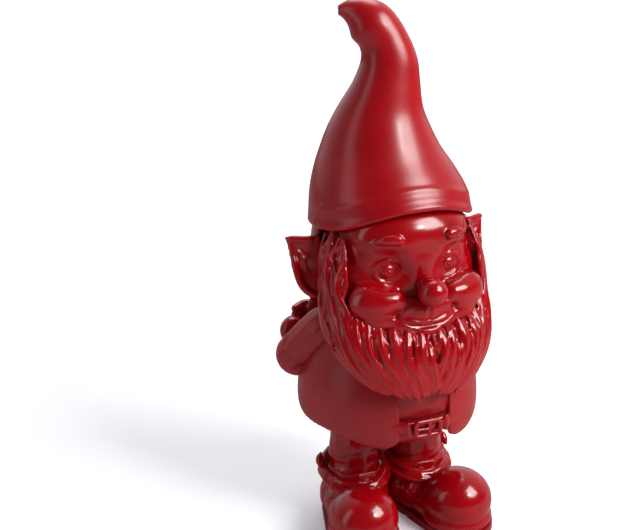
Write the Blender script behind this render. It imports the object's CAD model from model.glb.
from math import cos, pi, radians, sin

import bmesh
import bpy
import numpy as np
from mathutils import Euler, Matrix, Vector


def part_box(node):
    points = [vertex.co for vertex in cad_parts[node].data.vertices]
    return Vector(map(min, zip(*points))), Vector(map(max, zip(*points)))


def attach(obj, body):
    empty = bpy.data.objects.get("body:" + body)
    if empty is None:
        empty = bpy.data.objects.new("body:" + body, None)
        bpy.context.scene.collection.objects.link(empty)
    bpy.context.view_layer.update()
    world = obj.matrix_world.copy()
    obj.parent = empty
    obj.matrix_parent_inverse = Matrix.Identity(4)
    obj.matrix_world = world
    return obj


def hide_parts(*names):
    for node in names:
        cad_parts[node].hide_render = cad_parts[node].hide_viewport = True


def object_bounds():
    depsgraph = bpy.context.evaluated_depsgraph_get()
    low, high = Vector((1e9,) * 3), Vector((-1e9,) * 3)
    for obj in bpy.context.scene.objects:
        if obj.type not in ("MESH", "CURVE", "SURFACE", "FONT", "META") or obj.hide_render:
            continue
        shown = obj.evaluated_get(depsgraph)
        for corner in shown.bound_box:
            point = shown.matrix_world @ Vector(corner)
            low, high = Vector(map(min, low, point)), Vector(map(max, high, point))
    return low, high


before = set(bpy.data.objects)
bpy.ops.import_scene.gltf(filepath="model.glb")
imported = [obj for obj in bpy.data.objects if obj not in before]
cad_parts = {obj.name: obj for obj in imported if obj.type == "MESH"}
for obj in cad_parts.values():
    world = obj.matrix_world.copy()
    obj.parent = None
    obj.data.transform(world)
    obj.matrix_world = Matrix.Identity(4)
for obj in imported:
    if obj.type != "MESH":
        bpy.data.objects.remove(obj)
cad_low, cad_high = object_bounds()

# A garden gnome in one self-coloured crimson plastic. Lengths are in millimetres, down to the floor, lights
# and camera, which are in metres. The gnome's left is +X and its front is -Y. Most points are counted from
# an anchor of the CAD node that they belong to, and the rest from the frame's origin.
MM = 0.001
rng = np.random.default_rng(7)


# ---- anchors ------------------------------------------------------------------------------------
def box(node):
    low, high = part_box(node)
    return np.array(low) / MM, np.array(high) / MM


def middle(node):
    low, high = box(node)
    return (low + high) / 2


nose_low, nose_high = box("nose")
NOSE_R = (nose_high[0] - nose_low[0]) / 2
NOSE = np.array([0.0, nose_low[1] + NOSE_R, (nose_low[2] + nose_high[2]) / 2])
HAT_TOP = box("hat")[1][2]
HEM = box("jacket")[0][2]
BELT = middle("belt")
BEARD_TIP = box("beard")[0][2]
EAR = middle("left_ear")
ANKLE = middle("left_fill_plug")
SOLE_TOP = box("left_boot_sole")[1][2]


# ---- shaping tools ------------------------------------------------------------------------------
def unit_sphere(u, v):
    """Faces of a sphere made of rings, and each point's part of the way between the poles and its angle."""
    bm = bmesh.new()
    bmesh.ops.create_uvsphere(bm, u_segments=u, v_segments=v, radius=1.0)
    points = np.array([p.co for p in bm.verts])
    faces = [[p.index for p in f.verts] for f in bm.faces]
    bm.free()
    along = np.arccos(np.clip(points[:, 2], -1, 1)) / pi
    return faces, along, np.arctan2(points[:, 1], points[:, 0])


def unit_ball(detail):
    """The points and faces of a sphere of even triangles."""
    bm = bmesh.new()
    bmesh.ops.create_icosphere(bm, subdivisions=detail, radius=1.0)
    points = np.array([p.co for p in bm.verts])
    faces = [[p.index for p in f.verts] for f in bm.faces]
    bm.free()
    return points, faces


BALL = unit_ball(4)
STRAND = unit_sphere(10, 20)


def curve(points, count):
    """A smooth curve through points, as count points evenly spread over its parameter."""
    p = np.asarray(points, float)
    if len(p) < 3:
        return p[0] + (p[-1] - p[0]) * np.linspace(0, 1, count)[:, None]
    ends = np.vstack([2 * p[0] - p[1], p, 2 * p[-1] - p[-2]])
    t = np.linspace(0, len(p) - 1, count)
    i = np.minimum(t.astype(int), len(p) - 2)
    f = (t - i)[:, None]
    a, b, c, d = ends[i], ends[i + 1], ends[i + 2], ends[i + 3]
    return 0.5 * (2 * b + (c - a) * f + (2 * a - 5 * b + 4 * c - d) * f**2 + (3 * b - a - 3 * c + d) * f**3)


def follow(keys, values, at):
    """Smooth values between keys, a column at a time."""
    keys = np.asarray(keys, float)
    values = np.asarray(values, float)
    dense = curve(np.column_stack([keys, values]), 40 * len(keys))
    return np.column_stack([np.interp(at, dense[:, 0], dense[:, i + 1]) for i in range(values.shape[1])])


def unit(v):
    return v / np.maximum(np.linalg.norm(v, axis=-1, keepdims=True), 1e-9)


class Clay:
    """Lumps of clay gathered into one mesh before they are fused."""

    def __init__(self):
        self.points, self.faces, self.count = [], [], 0

    def add(self, points, faces):
        self.points.append(points)
        self.faces += [[i + self.count for i in f] for f in faces]
        self.count += len(points)

    def ball(self, centre, radii, turn=(0, 0, 0), both=False):
        spin = np.array(Euler([radians(a) for a in turn]).to_matrix())
        points = (BALL[0] * np.asarray(radii)) @ spin.T + np.asarray(centre)
        self.add(points, BALL[1])
        if both:
            self.mirrored(points, BALL[1])

    def strand(self, path, radius, flat=1.0, outward=(0, -1, 0), taper=(0.35, 0.35), both=False):
        """A tube along path. radius may change along it; taper is how blunt each end is, 0 for blunt."""
        faces, along, angle = STRAND
        steps = 24
        way = curve(path, steps)
        spot = np.linspace(0, 1, steps)
        size = np.interp(along, np.linspace(0, 1, np.size(radius)), np.atleast_1d(radius))
        size = size * np.minimum(1, along / max(taper[0], 0.02)) ** 0.6
        size = size * np.minimum(1, (1 - along) / max(taper[1], 0.02)) ** 0.6
        heading = unit(np.gradient(way, axis=0))
        out = np.broadcast_to(np.asarray(outward, float), way.shape)
        across = unit(np.cross(heading, out))
        out = unit(np.cross(across, heading))

        def spread(table):
            return np.column_stack([np.interp(along, spot, table[:, i]) for i in range(3)])

        sideways = np.cos(angle)[:, None] * spread(across)
        outwards = flat * np.sin(angle)[:, None] * spread(out)
        result = spread(way) + size[:, None] * (sideways + outwards)
        self.add(result, faces)
        if both:
            self.mirrored(result, faces)

    def mirrored(self, points, faces):
        self.add(points * [-1, 1, 1], [f[::-1] for f in faces])

    def mesh(self, name):
        data = bpy.data.meshes.new(name)
        data.from_pydata((np.vstack(self.points) * MM).tolist(), [], self.faces)
        data.update()
        return data


def place(name, data):
    thing = bpy.data.objects.new(name, data)
    bpy.context.scene.collection.objects.link(thing)
    return thing


def smooth(thing, rounds):
    """Applies a piece's modifiers and evens out its skin."""
    soft = thing.modifiers.new("soften", "SMOOTH")
    soft.factor = 0.5
    soft.iterations = rounds
    skin = bpy.data.meshes.new_from_object(thing.evaluated_get(bpy.context.evaluated_depsgraph_get()))
    thing.modifiers.clear()
    thing.data = skin


def fuse(name, data, grain, rounds):
    """Fuses the lumps of a mesh into one closed skin of cells grain across, then softens it."""
    thing = place(name, data)
    fused = thing.modifiers.new("fuse", "REMESH")
    fused.mode = "VOXEL"
    fused.voxel_size = grain * MM
    smooth(thing, rounds)
    thing.data.name = name
    return thing


class Tool:
    """A modelling tool on a skin: it moves points along their normals or by a push."""

    def __init__(self, thing):
        self.data = thing.data
        n = len(self.data.vertices)
        self.points = np.empty(n * 3)
        self.data.vertices.foreach_get("co", self.points)
        self.points = self.points.reshape(-1, 3) / MM
        self.normals = np.empty(n * 3)
        self.data.vertices.foreach_get("normal", self.normals)
        self.normals = self.normals.reshape(-1, 3)

    def away(self, path, reach, count=40):
        """Index of the points near path, and their distance from it."""
        way = curve(path, count) if len(path) > 1 else np.asarray(path, float)
        low, high = way.min(0) - 3 * reach, way.max(0) + 3 * reach
        near = np.flatnonzero(((self.points > low) & (self.points < high)).all(1))
        p = self.points[near]
        if len(way) == 1:
            return near, np.linalg.norm(p - way[0], axis=1), np.zeros(len(near))
        best = np.full(len(near), 1e9)
        part = np.zeros(len(near))
        for k, (a, b) in enumerate(zip(way[:-1], way[1:])):
            d = b - a
            t = np.clip(((p - a) @ d) / max(d @ d, 1e-9), 0, 1)
            dist = np.linalg.norm(p - a - t[:, None] * d, axis=1)
            closer = dist < best
            best = np.where(closer, dist, best)
            part = np.where(closer, (k + t) / (len(way) - 1), part)
        return near, best, part

    def stroke(self, path, width, height, both=False, fade=0.2):
        """A raised or sunk line: width is its half width, height is negative for a groove."""
        for flip in ((1, -1) if both else (1,)):
            near, dist, part = self.away(np.asarray(path, float) * [flip, 1, 1], width)
            ends = np.minimum(1, np.minimum(part, 1 - part) / fade) if fade else 1
            amount = height * np.exp(-((dist / width) ** 2)) * ends
            self.points[near] += self.normals[near] * amount[:, None]

    def push(self, centre, reach, move, both=False):
        for flip in ((1, -1) if both else (1,)):
            near, dist, _ = self.away([np.asarray(centre, float) * [flip, 1, 1]], reach)
            amount = np.exp(-((dist / reach) ** 2))
            self.points[near] += np.asarray(move, float) * [flip, 1, 1] * amount[:, None]

    def done(self):
        self.data.vertices.foreach_set("co", (self.points * MM).ravel())
        self.data.update()


def finish_piece(thing, material, slot, *nodes, body="figure"):
    """Shades a piece smooth, gives it its material, and lets it ride on its body in place of its nodes."""
    for face in thing.data.polygons:
        face.use_smooth = True
    thing.data.materials.clear()
    thing.data.materials.append(material)
    thing.name = nodes[0] + "_skin"
    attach(thing, body)
    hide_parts(*nodes)


# ---- materials ----------------------------------------------------------------------------------
def linear(code):
    """An sRGB hex code as a linear colour."""
    parts = [int(code[i:i + 2], 16) / 255 for i in (0, 2, 4)]
    return tuple(c / 12.92 if c <= 0.04045 else ((c + 0.055) / 1.055) ** 2.4 for c in parts) + (1.0,)


def add_node(tree, kind, settings=None, **sockets):
    """Adds a node. A socket is given by its label, with _ for a space, or by i and its number."""
    node = tree.nodes.new("ShaderNode" + kind)
    for key, value in (settings or {}).items():
        setattr(node, key, value)
    for key, value in sockets.items():
        by_number = key[0] == "i" and key[1:].isdigit()
        socket = node.inputs[int(key[1:]) if by_number else key.replace("_", " ")]
        if isinstance(value, bpy.types.NodeSocket):
            tree.links.new(value, socket)
        else:
            socket.default_value = value
    return node


def empty_tree(owner):
    owner.use_nodes = True
    owner.node_tree.nodes.clear()
    return owner.node_tree


# Pigment in a self-coloured moulding clouds over a few centimetres, and handling dulls it in patches of one
# to two centimetres. Light sinks about 2.5 mm into it. The grain of a mould is 0.1 to 0.3 mm, which is too
# fine to show, so it is drawn several times coarser.
CLOUD_MM, PATCH_MM = 38, 16
SINK = 2.5 * MM
GRAIN_DEPTH = 0.4 * MM


def moulded_plastic(name, code, deep_code, roughness, grain, grain_mm, coat):
    """Self-coloured moulded plastic: clouded colour, light that sinks in, patchy gloss and a grain."""
    material = bpy.data.materials.new(name)
    tree = empty_tree(material)
    where = add_node(tree, "TexCoord").outputs["Object"]
    cloud = add_node(tree, "TexNoise", Vector=where, Scale=1000 / CLOUD_MM, Detail=3.0, Roughness=0.5)
    colour = add_node(tree, "Mix", {"data_type": "RGBA"}, i0=cloud.outputs["Fac"], i6=linear(code),
                      i7=linear(deep_code))
    patch = add_node(tree, "TexNoise", Vector=where, Scale=1000 / PATCH_MM, Detail=1.0, Roughness=0.4)
    gloss = add_node(tree, "MapRange", Value=patch.outputs["Fac"], From_Min=0.2, From_Max=0.8,
                     To_Min=roughness * 0.9, To_Max=roughness * 1.1)
    fine = add_node(tree, "TexNoise", Vector=where, Scale=1000 / grain_mm, Detail=2.0, Roughness=0.5)
    bump = add_node(tree, "Bump", Strength=grain, Distance=GRAIN_DEPTH, Height=fine.outputs["Fac"])
    skin = add_node(tree, "BsdfPrincipled", Base_Color=colour.outputs[2], Roughness=gloss.outputs[0],
                    IOR=1.5, Subsurface_Weight=0.35, Subsurface_Radius=(1.0, 0.12, 0.08),
                    Subsurface_Scale=SINK, Coat_Weight=coat, Coat_Roughness=0.12, Normal=bump.outputs[0])
    add_node(tree, "OutputMaterial", Surface=skin.outputs[0])
    return material


# ABS from a polished mould: small sharp highlights on skin, hair and boots
GLOSS = moulded_plastic("polished_moulded_abs", "A8010C", "86010A", 0.18, 0.05, 0.9, 0.12)
# ABS from a textured mould: the jacket, shirt and sleeves spread a highlight into a soft sheen
SATIN = moulded_plastic("grained_moulded_abs", "A4020D", "88020C", 0.36, 0.35, 0.7, 0.0)
# ABS from a lightly blasted mould: long soft streaks of light down the hat
HATSKIN = moulded_plastic("satin_moulded_abs", "A6010C", "8A010B", 0.3, 0.08, 0.8, 0.05)
# ABS rubbed dull by the ground: darker soles that hardly shine
UNDER = moulded_plastic("scuffed_moulded_abs", "96040F", "84030D", 0.42, 0.3, 0.9, 0.0)
# Soft PVC, moulded: matt, darker stoppers
STOPPER = moulded_plastic("soft_moulded_pvc", "7A0C16", "6A0A14", 0.55, 0.3, 1.2, 0.0)


# ---- hat ----------------------------------------------------------------------------------------
# (height from the hat's top, centre x, centre y, radius, lean of the ring)
HAT_RINGS = [(-126, 0.6, 4.2, 46.0, 0), (-113.5, 0.3, 4.4, 45.0, 0), (-102, -0.4, 6, 43.0, 0),
             (-91, -1.7, 9, 38.6, 0), (-80, -3.2, 11.5, 32.9, 0), (-69, -4, 12, 27.9, 0),
             (-58, -3.8, 11.3, 22.8, 0), (-45, -1.6, 9.3, 18.0, 0), (-33, -0.6, 8.6, 15.0, 2),
             (-23, -3.6, 9.6, 13.2, 14), (-13.5, -10.5, 12.2, 12.4, 40), (-8.6, -17.0, 14.8, 8.6, 62),
             (-7.2, -21.6, 16.6, 5.4, 76), (-7.4, -26.0, 18.4, 2.2, 90)]
CURL_WAY = unit(np.array([-0.93, 0.36, 0.0]))


def hem_height(angle):
    """Height of the hat's lower edge: high over the forehead, low at the sides and back."""
    rise = -np.sin(angle)
    drop, front, back, tilt = 117.2, 14.5, 4.5, 0.8
    level = HAT_TOP - drop + front * np.maximum(rise, 0) ** 2
    return level + back * np.minimum(rise, 0) + tilt * np.cos(angle)


def hat_surface(part, angle):
    """Points on the outside of the hat: part runs from 0 at the lower edge to 1 at the tip."""
    rings = np.array(HAT_RINGS)
    hem = hem_height(angle) - HAT_TOP
    keys = np.arange(len(rings), dtype=float)
    low_key = np.interp(hem, rings[:5, 0], keys[:5])
    key = low_key + (keys[-1] - low_key) * part ** 0.92
    table = follow(keys, rings, key)
    z, x, y, r, lean = table.T
    lean = np.radians(lean)
    side = np.array([CURL_WAY[1], -CURL_WAY[0], 0.0])
    forward = np.outer(np.cos(lean), CURL_WAY) - np.outer(np.sin(lean), [0, 0, 1])
    a = np.cos(angle)[:, None] * np.array([1.0, 0, 0]) + np.sin(angle)[:, None] * np.array([0, 1.0, 0])
    ring = (a @ CURL_WAY)[:, None] * forward + (a @ side)[:, None] * side
    dent = 1 + 0.010 * np.sin(2 * angle + 4 * part) * part + 0.008 * np.sin(3 * angle - 5 * part)
    return np.column_stack([x, y, HAT_TOP + z]) + ring * (r * dent)[:, None], ring


def hat():
    faces, along, angle = unit_sphere(160, 200)
    # from pole to pole: the lining's cap, the lining, the rolled edge and the outside
    cap_end, roll_start, edge = 0.2, 0.45, 0.12
    roll_r, lining_depth = 2.1, 9
    outer = np.clip((along - edge) / (1 - edge), 0, 1)
    skin, _ = hat_surface(outer, angle)
    lower, lower_ring = hat_surface(np.zeros_like(outer), angle)
    roll = np.clip(along / edge, 0, 1)
    turn = np.clip((roll - roll_start) / (1 - roll_start), 0, 1) * pi
    depth = (1 - np.clip(roll / roll_start, 0, 1)) * lining_depth
    lining = lower - lower_ring * (2 * roll_r) + np.array([0, 0, 1]) * depth[:, None]
    rolled = lower - lower_ring * (roll_r + roll_r * np.cos(turn))[:, None]
    rolled[:, 2] -= roll_r * np.sin(turn)
    cap = np.clip(roll / cap_end, 0, 1)
    centre = np.array([0.0, 4.5, HAT_TOP - 104.0])
    lining = np.where((roll < cap_end)[:, None], centre + (lining - centre) * cap[:, None], lining)
    inner = np.where((roll > roll_start)[:, None], rolled, lining)
    points = np.where((along >= edge)[:, None], skin, inner)
    data = bpy.data.meshes.new("hat")
    data.from_pydata((points * MM).tolist(), [], faces)
    data.update()
    thing = place("hat_skin", data)
    tool = Tool(thing)
    brim = HAT_TOP - 117
    front = np.radians(np.linspace(170, 350, 30))
    for part, width, height in ((0.02, 2.4, 0.7), (0.056, 1.5, -0.55)):
        tool.stroke(hat_surface(np.full(30, part), front)[0], width, height)
    crease = [(-46, 6, brim - 4), (-45.6, 2, brim + 4), (-44.6, -3, brim + 11), (-43.4, -5, brim + 17)]
    tool.stroke(crease, 1.0, -1.5)
    tool.done()
    return thing


# ---- head ---------------------------------------------------------------------------------------
SKULL = np.array([0.0, -2.0, 164.0])
EYE = NOSE + [17.3, 23.2, 7.8]


def at(*offset):
    """A point counted from the middle of the nose."""
    return NOSE + np.array(offset, float)


def cheeks(clay):
    clay.strand([at(36, 27, -8), at(28.5, 17.5, -8), at(20, 11.5, -6.2), at(12, 8.0, -3.0)],
                [9.5, 11.0, 8.2, 3.0], flat=0.86, taper=(0.15, 0.10), both=True)
    clay.ball(at(20, 20, -17), (15, 13.5, 10), both=True)


def carve_face(tool):
    """The fine lines: irises, lids, the folds round eyes and cheeks, the mouth, and the forehead."""
    for r, height in ((3.6, -0.7), (1.3, -0.9)):
        loop = [EYE + np.array([r * cos(a), -7.0, r * sin(a)]) for a in np.linspace(0, 2 * pi, 17)]
        tool.stroke(loop, 0.65, height, both=True, fade=0)
    lid = [EYE + np.array([5.4 * cos(a), -7.0 + 1.5 * max(cos(a), 0), 4.6 * sin(a)])
           for a in np.linspace(0, 2 * pi, 17)]
    tool.stroke(lid, 0.7, -1.0, both=True, fade=0)
    under_brow = [at(31, 21, 18.5), at(26.6, 16, 20.4), at(20.5, 12, 21.4), at(13.5, 10.5, 18.8),
                  at(8.5, 12, 12.5)]
    tool.stroke(under_brow, 1.0, -1.2, both=True)
    over_cheek = [at(36, 26, 4.5), at(28.5, 16, 6), at(21, 9.5, 3.2), at(15, 7, 1.0), at(10, 8, 2)]
    tool.stroke(over_cheek, 1.1, -1.4, both=True)
    beside_mouth = [at(9, 5.5, -4), at(14, 6.5, -10), at(19.5, 9.5, -15.5), at(25, 14, -19.5)]
    tool.stroke(beside_mouth, 1.3, -1.9, both=True)
    smile = [at(-21, 12, -13.2), at(-15, 7, -16.4), at(-9, 4, -18.8), at(0, 2.4, -19.6), at(9, 4, -18.8),
             at(15, 7, -16.4), at(21, 12, -13.2)]
    tool.stroke(smile, 0.9, -1.9)
    upper_lip = [at(-13, 5.5, -14.8), at(-8, 3, -17), at(0, 1.4, -17.6), at(8, 3, -17), at(13, 5.5, -14.8)]
    tool.stroke(upper_lip, 1.3, 0.6)
    tool.stroke([at(-2.6, 2, -7.5), at(-2.4, 2, -16)], 1.0, 0.7)
    tool.stroke([at(2.6, 2, -7.5), at(2.4, 2, -16)], 1.0, 0.7)
    tool.stroke([at(0, 2, -7.5), at(0, 2, -16.5)], 1.0, -1.1)
    for z, x in ((12.4, 4.5), (9.8, 5.5)):
        tool.stroke([at(-x, 9.5, z - 0.6), at(0, 7.6, z), at(x, 9.5, z - 0.6)], 0.6, -0.6)
    tool.stroke([at(-16, 11.5, 33), at(-6, 9.8, 34.2), at(5, 9.8, 33.4), at(17, 12, 34)], 1.5, -0.45)
    tool.stroke([at(-12, 10.8, 37.5), at(0, 9.8, 38.2), at(13, 11, 37.2)], 1.4, -0.35)


def head():
    """A skull with cheeks and sockets first, then eyes, brows and lower lip, then the fine lines."""
    clay = Clay()
    clay.ball(SKULL, (41, 38.5, 43))
    clay.ball(at(0, 33, 24), (34, 22.5, 19))
    clay.ball(at(0, 36.5, 0), (41.5, 23, 26))
    clay.ball(at(0, 30, -20), (35, 28, 16))
    cheeks(clay)
    clay.ball(at(0, 12.5, -11.5), (16, 10.0, 8.5))
    clay.strand([at(4, 6.5, -6), at(12, 9.5, -10.5), at(19, 13, -14.5)], [4.5, 5.0, 3.4], both=True)
    clay.ball(at(0, 14, -24), (20, 9.5, 6.5))
    clay.ball(at(0, 18.5, 4), (10, 8.6, 9))
    skin = fuse("head_core", clay.mesh("head_core"), 0.9, 10)
    tool = Tool(skin)
    tool.push(at(17.3, 13, 8.5), 8.6, (0, 6.4, 0), both=True)
    tool.push(at(10.5, 12, 7), 4.0, (0, 1.6, 0), both=True)
    tool.stroke([at(5, 12, 17), at(12, 11.5, 20.5), at(22, 14, 22), at(31, 22, 18)], 4.4, 0.9, both=True)
    tool.done()
    smooth(skin, 5)
    more = Clay()
    more.add(Tool(skin).points, [list(f.vertices) for f in skin.data.polygons])
    more.ball(EYE, (7.0, 7.4, 6.6), both=True)
    eyelid = []
    for a in np.linspace(-0.2, 2 * pi + 0.2, 21):
        back = -6.0 + 2.8 * max(cos(a), 0) + 0.5 * max(-cos(a), 0)
        eyelid.append(EYE + np.array([7.6 * cos(a), back, 6.2 * sin(a)]))
    more.strand(eyelid, 1.45, taper=(0.02, 0.02), both=True)
    more.strand([at(28, 20, 23.5), at(20, 13.0, 26.6), at(12, 10.6, 26.2)], [1.4, 2.6, 3.0, 3.0], flat=0.75,
                taper=(0.4, 0.12), both=True)
    lower_lip = [at(-13.5, 8.5, -19.6), at(-7, 4.3, -22.0), at(0, 3.0, -22.8), at(7, 4.3, -22.0),
                 at(13.5, 8.5, -19.6)]
    more.strand(lower_lip, [0.8, 2.0, 2.6, 2.0, 0.8], flat=0.9)
    result = fuse("head", more.mesh("head"), 0.62, 3)
    bpy.data.objects.remove(skin)
    tool = Tool(result)
    carve_face(tool)
    tool.done()
    return result


def nose():
    clay = Clay()
    clay.ball(NOSE, (NOSE_R, NOSE_R, NOSE_R * 0.97))
    clay.ball(at(0, 6.5, 1.5), (5.6, 5.0, 5.4))
    return fuse("nose", clay.mesh("nose"), 0.4, 4)


# ---- beard and hair -----------------------------------------------------------------------------
# (height above the beard's tip, half width, half depth, centre y)
BEARD_RINGS = [(-0.5, 17, 3, -53), (3, 27, 8, -48), (9, 35.5, 16, -39.5), (16.5, 43, 26, -29),
               (23.5, 46.5, 31.5, -23), (31.5, 48.0, 33.8, -19), (41.5, 48.0, 33.5, -15.5),
               (53.5, 47.6, 32.5, -12), (67.5, 47.0, 33, -8), (80, 43.5, 33, -5), (92, 39, 34, -3)]
# (how many locks, part of the way down where they start and end, lift, width), from the lowest layer up
BEARD_LAYERS = [(22, (0.36, 1.03), -1.2, 2.0), (20, (0.12, 1.0), -0.9, 2.3), (18, (-0.06, 0.8), -0.5, 2.2)]
# (first side angle, last side angle, height at the top, height at the bottom)
SIDE_LOCKS = [(62, 57, 84, 40), (66, 62, 85, 34), (64, 60, 84, 38), (71, 66, 86, 30), (79, 70, 86, 26),
              (87, 76, 86, 22), (95, 88, 85, 34), (68, 74, 72, 26), (84, 72, 66, 20), (75, 82, 84, 46)]
FINE_LOCKS = 46
WIDEST_SIDE = 84


def beard_surface(side, height, lift=0.0):
    """Points over the beard: side is an angle in degrees from the front, height is above the beard's tip."""
    side, height = np.broadcast_arrays(np.asarray(side, float), np.asarray(height, float))
    rings = np.array(BEARD_RINGS)
    a, b, y = follow(rings[:, 0], rings[:, 1:], height.ravel()).T
    s = np.radians(side.ravel())
    spot = np.column_stack([(a + lift) * np.sin(s), y - (b + lift) * np.cos(s), BEARD_TIP + height.ravel()])
    out = unit(np.column_stack([np.sin(s) / a, -np.cos(s) / b, np.zeros_like(s) - 0.006]))
    return spot, out


def lock(clay, start, end, width, sway, phase, lift=0.0, waves=0.7, sunk=3.6):
    """A wavy lock from start to end, both (side, height): a tapered clump with three finer ridges."""
    t = np.linspace(0, 1, 13)
    wave = sway * (np.sin(2 * pi * waves * t + phase) - sin(phase))
    side = start[0] + (end[0] - start[0]) * t + wave
    height = start[1] + (end[1] - start[1]) * t
    spot, out = beard_surface(side, height)
    rise = lift + 0.8 * np.sin(pi * t) - sunk * np.maximum(0, 1 - t / 0.22)
    spot = spot + out * rise[:, None]
    across = unit(np.cross(np.gradient(spot, axis=0), out))
    size = width * np.interp(t, [0, 0.3, 0.55, 0.8, 1], [0.45, 1.0, 1.0, 0.75, 0.3])
    clay.strand(spot, size[::2], 0.75, out.mean(0), (0.06, 0.2))
    for k in (-1, 0, 1):
        drift = 0.25 * np.sin(2 * pi * 1.1 * t + phase + 2 * k)
        aside = across * ((k * 0.68 + drift) * size)[:, None]
        ridge = spot + aside + out * ((0.62 - 0.24 * abs(k)) * size)[:, None]
        clay.strand(ridge, size[::2] * rng.uniform(0.26, 0.36), 1.0, out.mean(0), (0.08, 0.25))


def upper_edge(side):
    """Height above the beard's tip where the beard meets the face."""
    return np.interp(abs(side), [0, 20, 35, 48, 60, 70, 80, 95], [37.5, 38.5, 41, 46, 54, 70, 86, 86])


def lower_edge(side):
    return np.interp(abs(side), [0, 14, 28, 42, 62, 90], [3.0, 2.8, 2.0, 2.2, 7.5, 30])


def beard():
    clay = Clay()
    faces, along, angle = unit_sphere(96, 60)
    side = np.degrees(angle)
    top = np.minimum(upper_edge(side) + 1.5, 58)
    belly, bottom = 30, 4
    upper_half = top + (belly - top) * along * 2
    lower_half = belly + (bottom - belly) * (along * 2 - 1)
    height = np.where(along < 0.5, upper_half, lower_half)
    lift = np.interp(along, [0, 0.06, 0.16, 0.85, 1], [-6.5, -4.2, -1.7, -1.5, -2.5])
    spot, _ = beard_surface(side, height, lift)
    centre_y = np.interp(height, [3, 30, 60], [-48, -24, -18])
    centre = np.column_stack([np.zeros_like(height), centre_y, spot[:, 2]])
    shrink = np.minimum(1, np.minimum(along, 1 - along) / 0.05)[:, None]
    body = centre + (spot - centre) * shrink
    body[:, 1] = np.minimum(body[:, 1], -5.0)
    clay.add(body, faces)
    for layer, (count, reach, lift, width) in enumerate(BEARD_LAYERS):
        for k in range(count):
            u = -1 + 2 * (k + 0.5 + 0.35 * (layer % 2)) / count + rng.uniform(-0.018, 0.018)
            top_side = WIDEST_SIDE * u
            low_side = top_side * 0.78
            top, low = upper_edge(top_side), lower_edge(low_side)
            first = reach[0] + rng.uniform(-0.04, 0.04)
            last = reach[1] + rng.uniform(-0.10, 0.02)
            start = (top_side + (low_side - top_side) * first, top + (low - top) * first)
            end = (top_side + (low_side - top_side) * last, top + (low - top) * last)
            lock(clay, start, end, width * rng.uniform(0.8, 1.2), np.sign(u) * rng.uniform(1.0, 3.4),
                 rng.uniform(-0.9, 0.9), lift + rng.uniform(-0.3, 0.3))
    for sign in (1, -1):
        for turn in (80, 92):
            core = beard_surface(sign * turn, np.array([82, 70, 52, 36, 24]), -4.6)[0]
            clay.strand(core, [4.4, 5.2, 5.6, 5.6, 4.0], taper=(0.1, 0.1))
    for k in range(FINE_LOCKS):
        top_side = -WIDEST_SIDE + 2 * WIDEST_SIDE * (k + 0.5) / FINE_LOCKS + rng.uniform(-1, 1)
        top = upper_edge(top_side) + 1.5
        low = (top_side * 0.92, top - rng.uniform(10, 22))
        lock(clay, (top_side, top), low, 0.85, rng.uniform(-2, 2), 1.1 * k, -1.0)
    for sign in (1, -1):
        for k, (first, last, high, low) in enumerate(SIDE_LOCKS):
            width = rng.uniform(1.3, 1.8)
            sway = sign * rng.uniform(2.8, 4.8)
            lock(clay, (sign * first, high), (sign * last, low), width, sway, 1.3 * k,
                 -0.6 + 0.5 * (k % 3), 1.6, 1.2)
    return fuse("beard", clay.mesh("beard"), 0.58, 2)


def back_hair():
    clay = Clay()
    clay.ball((0, 3, 158), (43.5, 39.5, 30))
    for count, top, low, lift in ((30, 24, -26, 0.0), (26, 26, -10, 1.0)):
        for k in range(count):
            side = 92 + 176 * (k + 0.5) / count
            t = np.linspace(0, 1, 9)
            for j in range(3):
                turn = side + (j - 1) * 2.2 + 2.2 * np.sin(5 * t + rng.uniform(0, 1) + k)
                z = 160 + top + (low - top) * t + rng.uniform(-1.5, 1.5) * t
                r = np.interp(z, [132, 145, 160, 176, 188], [38.5, 42.5, 43.5, 41.5, 38.5]) + lift
                s = np.radians(turn)
                path = np.column_stack([r * np.sin(s), 3 - r * 0.93 * np.cos(s), z])
                clay.strand(path, [1.2, 1.5, 1.4, 0.7], 1.0, path.mean(0) - [0, 3, 160], (0.1, 0.4))
    return fuse("back_hair", clay.mesh("back_hair"), 0.7, 2)


# ---- ears ---------------------------------------------------------------------------------------
def ear(side):
    """A pointed ear: a leaf-shaped plate with a thick rim, dished towards the front."""
    leaf = [(-9, -7, -19), (-3.5, -5.5, -18), (1.5, -3.5, -13.5), (4.0, -1.0, -6), (4.9, 1.0, 1.5),
            (5.8, 2.8, 8), (6.6, 4.0, 12.6), (3.5, 2.4, 13.2), (-2, 0, 13.0), (-9, -2.5, 14)]
    rim = curve(leaf, 60) + EAR
    clay = Clay()
    front, back = rim + [-0.8, -1.6, 0], rim + [0.8, 1.6, 0]
    count = len(rim)
    faces = [list(range(count)), list(range(2 * count - 1, count - 1, -1))]
    faces += [[i, i + count, (i + 1) % count + count, (i + 1) % count] for i in range(count)]
    clay.add(np.vstack([front, back]), faces)
    clay.strand(rim[2:40] + [-1.2, -1.0, 0], [1.6, 2.3, 2.3, 2.0, 1.5, 1.0], taper=(0.1, 0.1))
    clay.strand(rim[38:58] + [-0.6, -1.0, -1.0], [1.2, 1.9, 2.1, 2.0], taper=(0.1, 0.1))
    inner_fold = [EAR + [4.2, 0.4, 8], EAR + [0.0, -2.0, 3], EAR + [-2.4, -3.6, -5], EAR + [-6.5, -5.5, -12]]
    clay.strand(inner_fold, [1.0, 1.6, 1.7, 1.4])
    thing = fuse("ear", clay.mesh("ear"), 0.5, 3)
    tool = Tool(thing)
    tool.push(EAR + [0.5, -1.0, 4.5], 4.0, (0, 1.6, 0))
    tool.push(EAR + [-1.5, -3.0, -4], 3.6, (0, 1.8, 0))
    tool.done()
    return mirrored(thing) if side < 0 else thing


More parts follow.
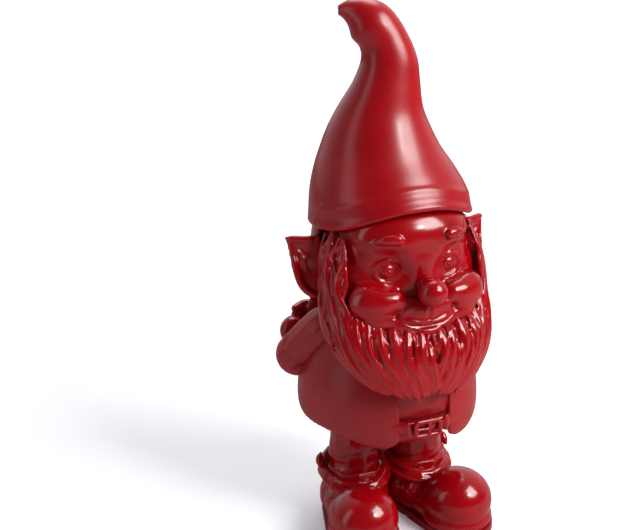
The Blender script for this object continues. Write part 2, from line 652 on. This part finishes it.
# ---- trunk, jacket, belt ------------------------------------------------------------------------
# (height above the jacket's hem, half width, half depth, centre y)
TRUNK_RINGS = [(7, 39, 38, -4.5), (16, 42, 41.5, -5), (28, 43, 41.5, -4), (41, 40.3, 37.3, 0),
               (52, 34.3, 31.3, 1.5), (60, 26, 24, 2)]
JACKET_RINGS = [(-0.4, 50.2, 49.6, 0.5), (4, 51.7, 51.2, 0.5), (13, 52.0, 51.0, 0.5), (26, 50.5, 49.0, 0.5),
                (39, 46.0, 43.5, 1.0), (51, 39.5, 36.5, 1.5), (60, 31.0, 29.0, 2.0), (66, 23.0, 22.0, 2.0)]


def oval(rings, height, angle, grow=0.0):
    """Points round a stack of ellipses; height is above the jacket's hem and angle 0 is the front."""
    rings = np.array(rings)
    a, b, y = follow(rings[:, 0], rings[:, 1:], height).T
    return np.column_stack([(a + grow) * np.sin(angle), y - (b + grow) * np.cos(angle), HEM + height])


def shirt():
    faces, along, angle = unit_sphere(96, 70)
    height = np.interp(along, [0, 0.08, 0.92, 1], [62, 61, 7.2, 7])
    spot = oval(TRUNK_RINGS, height, angle)
    shrink = np.minimum(1, np.minimum(along, 1 - along) / 0.08)[:, None]
    spot[:, :2] *= shrink
    clay = Clay()
    clay.add(spot, faces)
    clay.strand([(0, 2, HEM + 55), (0, 2, HEM + 68)], 15, taper=(0, 0))
    thing = fuse("shirt_trunk", clay.mesh("shirt_trunk"), 1.0, 5)
    tool = Tool(thing)
    tool.stroke([(-16, -44, HEM + 26), (-6, -46, HEM + 22), (9, -46, HEM + 25)], 2.6, -0.5)
    tool.stroke([(16, -44, HEM + 19), (4, -46, HEM + 16.5), (-8, -46, HEM + 18)], 2.4, -0.45)
    tool.done()
    return thing


def jacket():
    """A cloth-like shell: a grid from one front edge round the back to the other, thickened and rounded."""
    across, up = 180, 60
    bm = bmesh.new()
    bmesh.ops.create_grid(bm, x_segments=across, y_segments=up, size=1.0)
    flat = np.array([v.co for v in bm.verts])
    u, v = (flat[:, 0] + 1) / 2, (flat[:, 1] + 1) / 2
    height = 65.5 * v
    half = np.interp(height, [0, 3, 8, 30, 58, 66], [17.3, 15.6, 15.0, 15.0, 2.5, 1.5])
    width = np.interp(height, [0, 40, 66], [52, 46, 23])
    gap = np.arcsin(np.clip(half / width, 0, 1))
    angle = gap + (2 * pi - 2 * gap) * u
    lift = 0.9 * np.sin(5 * angle + 0.6) * (1 - v) ** 3
    side = np.minimum(u, 1 - u)
    lip = 1.6 * np.exp(-((side / 0.012) ** 2))
    drop = 3.0 * np.exp(-(((side - 0.03) / 0.06) ** 2))
    corner = (lip - drop) * (1 - v) ** 8
    behind = np.clip((0.2 - np.cos(angle)) / 0.7, 0, 1) * np.clip(1.5 - 1.5 * v, 0, 1)
    spot = oval(JACKET_RINGS, height, angle, -1.7 + 3.2 * behind)
    spot[:, 2] += lift * 0.6 + corner
    for vert, co in zip(bm.verts, spot):
        vert.co = co * MM
    bmesh.ops.recalc_face_normals(bm, faces=bm.faces)
    bmesh.ops.solidify(bm, geom=bm.verts[:] + bm.edges[:] + bm.faces[:], thickness=3.4 * MM)
    data = bpy.data.meshes.new("jacket")
    bm.to_mesh(data)
    bm.free()
    return fuse("jacket", data, 0.85, 5)


def belt():
    """A flat strap round the trunk in two lengths, with a keeper loop on each side of the buckle."""

    def round_trunk(turn, out, up=0.0):
        """A point round the trunk, out from its wall; turn 0 is the front."""
        return np.array([(42.0 + out) * sin(turn), -5.0 - (41.5 + out) * cos(turn), BELT[2] + up])

    clay = Clay()
    proud, half_width, flat, blunt = 1.6, 4.0, 0.42, (0.02, 0.02)
    front = [round_trunk(t, proud, 0.2 * sin(3 * t)) for t in np.linspace(-1.0, 1.0, 30)]
    clay.strand(front, half_width, flat, (0, -1, 0), blunt)
    for t in (-0.24, 0.27):
        spot = round_trunk(t, 3)
        keeper = [spot - [0, 0, 4.8], spot - [0, 0.4, 0], spot + [0, 0, 4.8]]
        clay.strand(keeper, [1.5, 1.7, 1.5], 0.7, (0, -1, 0), (0.1, 0.1))
    back = [round_trunk(t, proud) for t in np.linspace(0.95, 2 * pi - 0.95, 60)]
    clay.strand(back, half_width, flat, (0, 1, 0), blunt)
    return fuse("belt", clay.mesh("belt"), 0.5, 3)


def buckle():
    low, high = box("belt_buckle")
    mid = (low + high) / 2
    clay = Clay()
    x, z = 7.2, 4.2
    corners = [mid + [-x, 0, -z], mid + [x, 0, -z], mid + [x, 0, z], mid + [-x, 0, z], mid + [-x, 0, -z]]
    for a, b in zip(corners, corners[1:]):
        clay.strand([a, b], 1.35, 0.9, taper=(0.04, 0.04))
    clay.strand([mid + [0.5, -0.3, -4], mid + [0.5, -0.3, 4]], 1.0, taper=(0.05, 0.05))
    clay.strand([mid + [-7, -0.5, 0.2], mid + [0.5, -0.9, 0]], 0.9, taper=(0.05, 0.2))
    return fuse("belt_buckle", clay.mesh("belt_buckle"), 0.3, 2)


# ---- arms and hands -----------------------------------------------------------------------------
SHOULDER, ELBOW = np.array([37.0, 10.0, 118.0]), np.array([47.0, 25.0, 96.5])
WRISTS = {1: np.array([-12.0, 47.0, 113.5]), -1: np.array([-15.0, 49.4, 93.0])}


def side_name(side):
    return "left" if side > 0 else "right"


def mirrored(thing):
    thing.data.transform(Matrix.Scale(-1, 4, (1, 0, 0)))
    thing.data.flip_normals()
    return thing


def sleeve(side):
    wrist = WRISTS[side]
    clay = Clay()
    upper_arm = [SHOULDER + [-10, -3, 8], SHOULDER, ELBOW + [-1, -2, 4], ELBOW]
    clay.strand(upper_arm, [8, 12, 12.4, 12.6], taper=(0.2, 0.12))
    clay.ball(ELBOW, (12.8, 13.0, 12.6))
    forearm = [ELBOW, ELBOW + 0.5 * (wrist - ELBOW) + [0, 2.0, 0], wrist]
    clay.strand(forearm, [12.4, 11.0, 9.4], taper=(0.1, 0.02))
    clay.strand([wrist + 0.06 * (ELBOW - wrist), wrist - 0.02 * (ELBOW - wrist)], 10.0, taper=(0.2, 0.2))
    thing = fuse(side_name(side) + "_sleeve", clay.mesh("sleeve"), 0.8, 6)
    tool = Tool(thing)
    tool.stroke([ELBOW + [-10, -10, 4], ELBOW + [-2, -12, 0], ELBOW + [8, -10, -6]], 2.2, -1.3)
    tool.stroke([ELBOW + [-6, 2, 13], ELBOW + [4, 4, 12], ELBOW + [10, 2, 8]], 2.0, -1.1)
    tool.stroke([ELBOW + [-4, -4, 16], ELBOW + [6, -3, 13], ELBOW + [12, -6, 6]], 2.0, -0.9)
    tool.stroke([ELBOW + [-12, 10, 8], ELBOW + [-6, 14, 4], ELBOW + [-3, 13, -4]], 1.8, -1.0)
    tool.done()
    return mirrored(thing) if side < 0 else thing


def hand(side):
    wrist = WRISTS[side]
    palm = wrist + [-14.0, -1.5, 0.5]
    clay = Clay()
    clay.strand([wrist + [4, 0, 0], palm], 5.8, taper=(0.1, 0.1))
    clay.ball(palm, (10.5, 6.2, 8.0), (0, 0, 8))
    for i in range(4):
        z = 3.6 * (1.5 - i) - 1.5
        root = palm + [-4, 0.6, z]
        tip = root + [-14, -5.6 - 0.3 * i, -0.6]
        finger = [root, root + [-6, -0.2, 0.2], root + [-11.5, -3.2, -0.4], tip]
        clay.strand(finger, [2.5, 2.6, 2.4, 2.1], taper=(0.1, 0.2))
    thumb = [palm + [2, -1, 3], palm + [-3.5, -1.8, 9], palm + [-6, -2.5, 13.5]]
    clay.strand(thumb, [3.4, 3.1, 2.6], taper=(0.1, 0.2))
    if side > 0:
        clay.ball(palm + [-18.5, -5.5, -8.5], (8.4, 6.5, 8.6), (0, 0, 20))
    thing = fuse(side_name(side) + "_hand", clay.mesh("hand"), 0.45, 3)
    return mirrored(thing) if side < 0 else thing


# ---- trousers, boots, cuffs ---------------------------------------------------------------------
def trousers():
    clay = Clay()
    clay.ball((0, -2, 66), (37.0, 36.5, 12.5))
    clay.ball((0, 1, 60), (33.5, 24, 9))
    for s in (1, -1):
        x, y = s * ANKLE[0], ANKLE[1]
        leg = [(x * 0.97, y - 0.5, 66), (x, y, 50), (x, y + 0.5, 28)]
        clay.strand(leg, [17.5, 15.5, 14.6, 15.4, 14.4], taper=(0.03, 0.03))
        for z, turn, size in ((39.5, 0.3, 2.6), (34.0, 1.4, 2.6), (45.5, 2.2, 1.8)):
            fold = [(x + 13.8 * cos(a), y + 13.6 * sin(a), z + 2.6 * sin(a * s + turn) + 0.8 * sin(3 * a))
                    for a in np.linspace(-0.2, 2 * pi + 0.2, 25)]
            clay.strand(fold, [size, size * 0.5, size, size * 0.6, size], 0.9, (0, 0, 1), (0.02, 0.02))
    thing = fuse("trousers", clay.mesh("trousers"), 0.8, 6)
    tool = Tool(thing)
    for s in (1, -1):
        x = s * ANKLE[0]
        tool.stroke([(x - 14, -6, 52), (x - 4, -12, 47), (x + 8, -11, 49)], 2.0, -1.0)
        tool.stroke([(x - 6, -12, 60), (x - 2, -12, 52)], 2.0, -0.8)
    tool.done()
    return thing


def at_foot(thing, side):
    """Moves a boot drawn about its ankle to the left foot's place, or mirrors it to the right's."""
    where = Matrix.Translation((ANKLE[0] * MM, ANKLE[1] * MM, 0)) @ Matrix.Rotation(radians(15), 4, "Z")
    thing.data.transform(where)
    return mirrored(thing) if side < 0 else thing


def boot(side):
    clay = Clay()
    clay.ball((0, -38.5, 17.8), (19.6, 19.6, 17.6))
    clay.ball((0, -38.0, 9), (20.0, 20.0, 11))
    clay.ball((0, -27, 12.5), (19.2, 22, 13))
    clay.ball((0, -10, 12), (19.0, 24, 15.5))
    clay.ball((0, 0, 12), (20.6, 20.0, 15))
    clay.strand([(0, 0, 12), (0, 0.5, 33)], [19.6, 17.2], taper=(0.02, 0.02))
    thing = fuse("boot_core", clay.mesh("boot"), 0.8, 6)
    tool = Tool(thing)
    # a welt that swells just above the sole, and a flat underside that clears it
    welt_height, welt_out, clear = 6, 1.2, 0.3
    height = tool.points[:, 2] - SOLE_TOP
    spine = np.column_stack([np.zeros(len(height)), np.clip(tool.points[:, 1], -39, 0)])
    out = unit(tool.points[:, :2] - spine)
    wall = np.where((height < welt_height) & (np.abs(height) < 6.5), welt_out, 0.0)
    tool.points[:, :2] += out * (wall * np.clip((welt_height - height) / welt_height, 0, 1))[:, None]
    tool.points[height < clear, 2] = SOLE_TOP + clear
    tool.stroke([(-19, -19, 10), (-13, -19.5, 22), (0, -20, 27), (13, -19.5, 22), (19, -19, 10)], 2.0, -1.2)
    tool.stroke([(-17, -10, 18), (-8, -13, 27), (4, -14, 28.5)], 1.8, -0.9)
    tool.done()
    return at_foot(thing, side)


def cuff(side):
    """A soft collar that lies open: standing at the back, dropped and lapped over at the front."""
    clay = Clay()
    turns = np.linspace(-0.3, 2 * pi + 0.3, 44)
    for r, drop, size, ripple in ((17.6, 0.0, 2.6, 0.7), (19.6, 3.6, 2.5, 1.1), (17.8, 5.6, 3.0, 0.5)):
        band = []
        for a in turns:
            out = r + 0.5 * sin(3 * a + 0.5) + (0.8 * ripple if sin(a) < -0.6 else 0)
            z = 31.0 + 5.2 * sin(a) + ripple * sin(4 * a + drop) - drop
            band.append((out * cos(a), out * sin(a) - 0.5, max(z, SOLE_TOP + 15)))
        clay.strand(band, size, 0.85, (0, 0, 1), (0.01, 0.01))
    clay.strand([(19.5, 3, 38), (20.8, -1.5, 35), (20.4, -6, 30.5)], [1.6, 2.6, 2.0])
    thing = fuse(side_name(side) + "_boot_cuff", clay.mesh("cuff"), 0.55, 4)
    tool = Tool(thing)
    for a in (-2.3, -1.5, -0.6):
        way = [(19 * cos(a + d), 19 * sin(a + d), 31 + 5 * sin(a) + h)
               for d, h in ((-0.2, 2), (0, -2), (0.25, -6))]
        tool.stroke(way, 1.2, -0.8)
    tool.done()
    return at_foot(thing, side)


# ---- the figure ---------------------------------------------------------------------------------
finish_piece(hat(), HATSKIN, "satin_red", "hat")
finish_piece(head(), GLOSS, "gloss_red", "head")
finish_piece(nose(), GLOSS, "gloss_red", "nose")
finish_piece(beard(), GLOSS, "gloss_red", "beard")
finish_piece(back_hair(), GLOSS, "gloss_red", "back_hair")
finish_piece(shirt(), SATIN, "satin_red", "shirt_trunk")
finish_piece(jacket(), SATIN, "satin_red", "jacket")
finish_piece(belt(), GLOSS, "gloss_red", "belt")
finish_piece(buckle(), GLOSS, "gloss_red", "belt_buckle")
finish_piece(trousers(), GLOSS, "satin_red", "trousers")
for side in (1, -1):
    word = side_name(side)
    finish_piece(ear(side), GLOSS, "gloss_red", word + "_ear")
    finish_piece(sleeve(side), SATIN, "satin_red", word + "_sleeve")
    finish_piece(hand(side), GLOSS, "gloss_red", word + "_hand")
    finish_piece(boot(side), GLOSS, "gloss_red", word + "_boot")
    finish_piece(cuff(side), GLOSS, "gloss_red", word + "_boot_cuff")
    for node, material in ((word + "_boot_sole", UNDER), (word + "_fill_plug", STOPPER)):
        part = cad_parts[node]
        part.data.materials.clear()
        part.data.materials.append(material)

# ---- floor, light and camera, in metres ---------------------------------------------------------
bm = bmesh.new()
bmesh.ops.create_grid(bm, x_segments=1, y_segments=1, size=8.0)
data = bpy.data.meshes.new("floor")
bm.to_mesh(data)
bm.free()
floor = place("floor", data)
# Matt paper that brightens away from the figure until it meets the white backdrop. It is dimmer in
# reflections, so that the plastic keeps its depth of colour.
material = bpy.data.materials.new("pale_matt_paper")
tree = empty_tree(material)
where = add_node(tree, "TexCoord").outputs["Object"]
path = add_node(tree, "LightPath").outputs
speck = add_node(tree, "TexNoise", Vector=where, Scale=3.0, Detail=4.0)
tone = add_node(tree, "MapRange", Value=speck.outputs["Fac"], To_Min=0.86, To_Max=0.9)
dim = add_node(tree, "MapRange", Value=path["Is Glossy Ray"], To_Min=1.0, To_Max=0.30)
tone = add_node(tree, "Math", {"operation": "MULTIPLY"}, i0=tone.outputs[0], i1=dim.outputs[0])
far = add_node(tree, "VectorMath", {"operation": "LENGTH"}, i0=where)
lift = add_node(tree, "MapRange", Value=far.outputs["Value"], From_Min=0.35, From_Max=1.6, To_Min=0.16,
                To_Max=0.85)
lift = add_node(tree, "Math", {"operation": "MULTIPLY"}, i0=path["Is Camera Ray"], i1=lift.outputs[0])
paper = add_node(tree, "BsdfPrincipled", Base_Color=tone.outputs[0], Roughness=0.9,
                 Emission_Color=(0.80, 0.87, 1.0, 1.0), Emission_Strength=lift.outputs[0])
add_node(tree, "OutputMaterial", Surface=paper.outputs[0])
data.materials.append(material)

# A white backdrop to look at, and a studio that is bright behind the figure and dark in front of it.
world = bpy.data.worlds.new("studio")
bpy.context.scene.world = world
sky = empty_tree(world)
backdrop = add_node(sky, "Background", Color=(1.0, 1.0, 1.0, 1.0))
toward = add_node(sky, "VectorMath", {"operation": "DOT_PRODUCT"}, i1=(0.30, 0.90, 0.25),
                  i0=add_node(sky, "TexCoord").outputs["Generated"])
ramp = add_node(sky, "MapRange", Value=toward.outputs["Value"], From_Min=0.0, From_Max=0.95, To_Min=0.06,
                To_Max=1.0)
glow = add_node(sky, "Background", Color=(0.93, 0.96, 1.0, 1.0), Strength=ramp.outputs[0])
seen = add_node(sky, "MixShader", i0=add_node(sky, "LightPath").outputs["Is Camera Ray"], i1=glow.outputs[0],
                i2=backdrop.outputs[0])
add_node(sky, "OutputWorld", Surface=seen.outputs[0])


def lamp(name, place_at, aim, size, power, colour=(1, 1, 1)):
    """A rectangular softbox at a place, facing a point."""
    data = bpy.data.lights.new(name, "AREA")
    data.shape = "RECTANGLE"
    data.size, data.size_y = size
    data.energy = power
    data.color = colour
    thing = place(name, data)
    thing.location = place_at
    thing.rotation_euler = (Vector(aim) - Vector(place_at)).to_track_quat("-Z", "Y").to_euler()


lamp("key", (0.56, -0.60, 0.80), (0, 0, 0.15), (0.5, 0.6), 12.0)
lamp("window", (0.36, -0.80, 0.75), (0, 0, 0.15), (0.12, 0.16), 2.6)
lamp("top", (0.2, 0.6, 1.3), (0, 0.1, 0), (0.8, 0.8), 9.0)
lamp("left_strip", (-1.0, -0.05, 0.5), (0, 0, 0.18), (0.3, 1.0), 1.3, (0.93, 0.95, 1.0))

lens = bpy.data.cameras.new("camera")
lens.sensor_width = 36.0
lens.lens = 64.74
camera = place("camera", lens)
tall = cad_high[2] - cad_low[2]
camera.location = Vector((-0.852, -1.827, 1.236)) * tall
camera.rotation_euler = (radians(90 - 19.79), 0, radians(-21.19))
bpy.context.scene.camera = camera
bpy.context.scene.view_settings.view_transform = "Standard"
